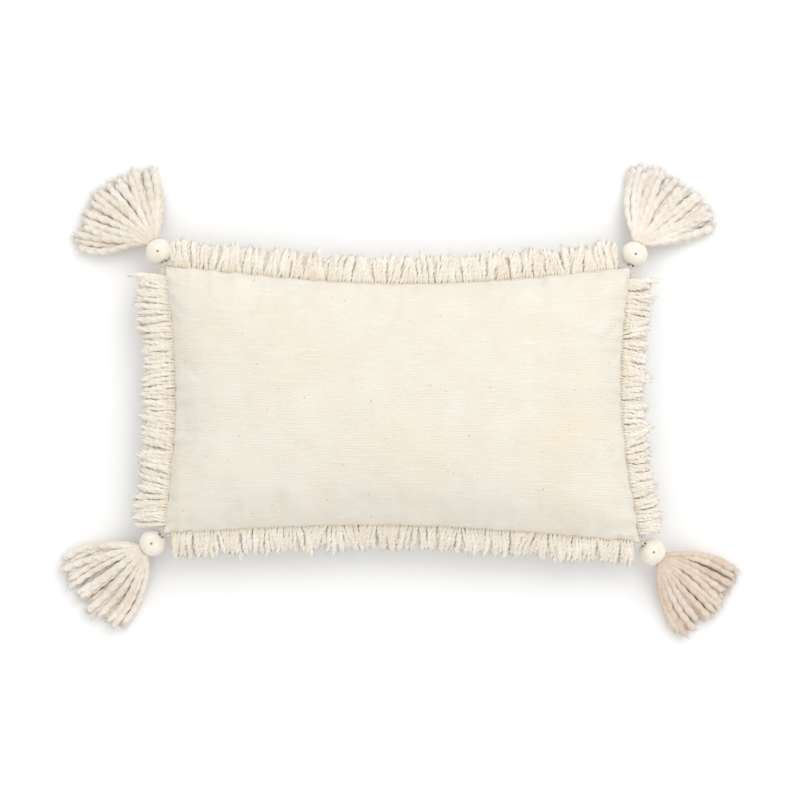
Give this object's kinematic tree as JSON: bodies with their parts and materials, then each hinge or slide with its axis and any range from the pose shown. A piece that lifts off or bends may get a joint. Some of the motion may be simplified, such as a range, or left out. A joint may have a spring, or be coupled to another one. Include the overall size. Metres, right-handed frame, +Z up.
{
  "type": "throw pillow",
  "caption": "Cream woven cotton lumbar throw pillow with a cut yarn brush fringe on every side and a round-headed tassel at each corner.",
  "frame": {"origin": "middle of the footprint, on the surface the pillow lies on, back down", "axes": "+X along the pillow's length, +Y across it, +Z up out of the front panel"},
  "size_m": [0.7334, 0.511, 0.116],
  "materials": {
    "cover_cotton": "woven matte",
    "header_tape": "chain-stitched matte",
    "cotton_yarn": "twisted matte",
    "tassel_cord": "twisted matte",
    "tassel_head_cotton": "smooth matte",
    "insert_calico": "plain woven",
    "polyester_fill": "soft fibre",
    "zip_tape": "woven",
    "zip_coil_nylon": "satin",
    "zip_nickel": "nickel plated"
  },
  "bodies": {
    "cushion": {"front_panel": "cover_cotton", "back_panel_upper": "cover_cotton", "back_panel_lower": "cover_cotton", "insert_front": "insert_calico", "insert_back": "insert_calico", "fill": "polyester_fill", "fringe_tape_top": "header_tape", "fringe_yarn_top": "cotton_yarn", "fringe_tape_bottom": "header_tape", "fringe_yarn_bottom": "cotton_yarn", "fringe_tape_left": "header_tape", "fringe_yarn_left": "cotton_yarn", "fringe_tape_right": "header_tape", "fringe_yarn_right": "cotton_yarn", "zip_tape_upper": "zip_tape", "zip_tape_lower": "zip_tape", "zip_coil_upper": "zip_coil_nylon", "zip_coil_lower": "zip_coil_nylon", "zip_top_stop_upper": "zip_nickel", "zip_top_stop_lower": "zip_nickel", "zip_bottom_stop": "zip_nickel"},
    "cord_top_left": {"tassel_top_left_cord": "tassel_cord"},
    "tassel_top_left": {"tassel_top_left_head": "tassel_head_cotton", "tassel_top_left_yarn": "cotton_yarn", "tassel_top_left_tie": "tassel_cord"},
    "cord_top_right": {"tassel_top_right_cord": "tassel_cord"},
    "tassel_top_right": {"tassel_top_right_head": "tassel_head_cotton", "tassel_top_right_yarn": "cotton_yarn", "tassel_top_right_tie": "tassel_cord"},
    "cord_bottom_left": {"tassel_bottom_left_cord": "tassel_cord"},
    "tassel_bottom_left": {"tassel_bottom_left_head": "tassel_head_cotton", "tassel_bottom_left_yarn": "cotton_yarn", "tassel_bottom_left_tie": "tassel_cord"},
    "cord_bottom_right": {"tassel_bottom_right_cord": "tassel_cord"},
    "tassel_bottom_right": {"tassel_bottom_right_head": "tassel_head_cotton", "tassel_bottom_right_yarn": "cotton_yarn", "tassel_bottom_right_tie": "tassel_cord"},
    "zip_slider": {"zip_slider": "zip_nickel"},
    "zip_pull": {"zip_pull": "zip_nickel"}
  },
  "joints": [
    {"name": "top_left_swing", "type": "hinge", "parent": "cushion", "child": "cord_top_left", "pos_m": [-0.25049, 0.14585, 0.04], "axis": [0, 0, 1], "range_deg": [-13, 47]},
    {"name": "top_left_lift", "type": "hinge", "parent": "cord_top_left", "child": "tassel_top_left", "pos_m": [-0.25049, 0.14585, 0.04], "axis": [0.8829, 0.4695, 0], "range_deg": [-60, 75]},
    {"name": "top_right_swing", "type": "hinge", "parent": "cushion", "child": "cord_top_right", "pos_m": [0.24513, 0.14197, 0.04], "axis": [0, 0, 1], "range_deg": [-55, 5]},
    {"name": "top_right_lift", "type": "hinge", "parent": "cord_top_right", "child": "tassel_top_right", "pos_m": [0.24513, 0.14197, 0.04], "axis": [0.9397, -0.342, 0], "range_deg": [-60, 75]},
    {"name": "bottom_left_swing", "type": "hinge", "parent": "cushion", "child": "cord_bottom_left", "pos_m": [-0.25306, -0.14323, 0.04], "axis": [0, 0, 1], "range_deg": [-26, 34]},
    {"name": "bottom_left_lift", "type": "hinge", "parent": "cord_bottom_left", "child": "tassel_bottom_left", "pos_m": [-0.25306, -0.14323, 0.04], "axis": [-0.6561, 0.7547, 0], "range_deg": [-60, 75]},
    {"name": "bottom_right_swing", "type": "hinge", "parent": "cushion", "child": "cord_bottom_right", "pos_m": [0.25805, -0.15312, 0.04], "axis": [0, 0, 1], "range_deg": [-38, 22]},
    {"name": "bottom_right_lift", "type": "hinge", "parent": "cord_bottom_right", "child": "tassel_bottom_right", "pos_m": [0.25805, -0.15312, 0.04], "axis": [-0.6018, -0.7986, 0], "range_deg": [-60, 75]},
    {"name": "zip_slide", "type": "slide", "parent": "cushion", "child": "zip_slider", "axis": [-1, 0, 0], "range_m": [0, 0.288]},
    {"name": "zip_pull_turn", "type": "hinge", "parent": "zip_slider", "child": "zip_pull", "pos_m": [0.14595, -0.04241, 0.0022], "axis": [0, -1, 0], "range_deg": [0, 170]}
  ]
}
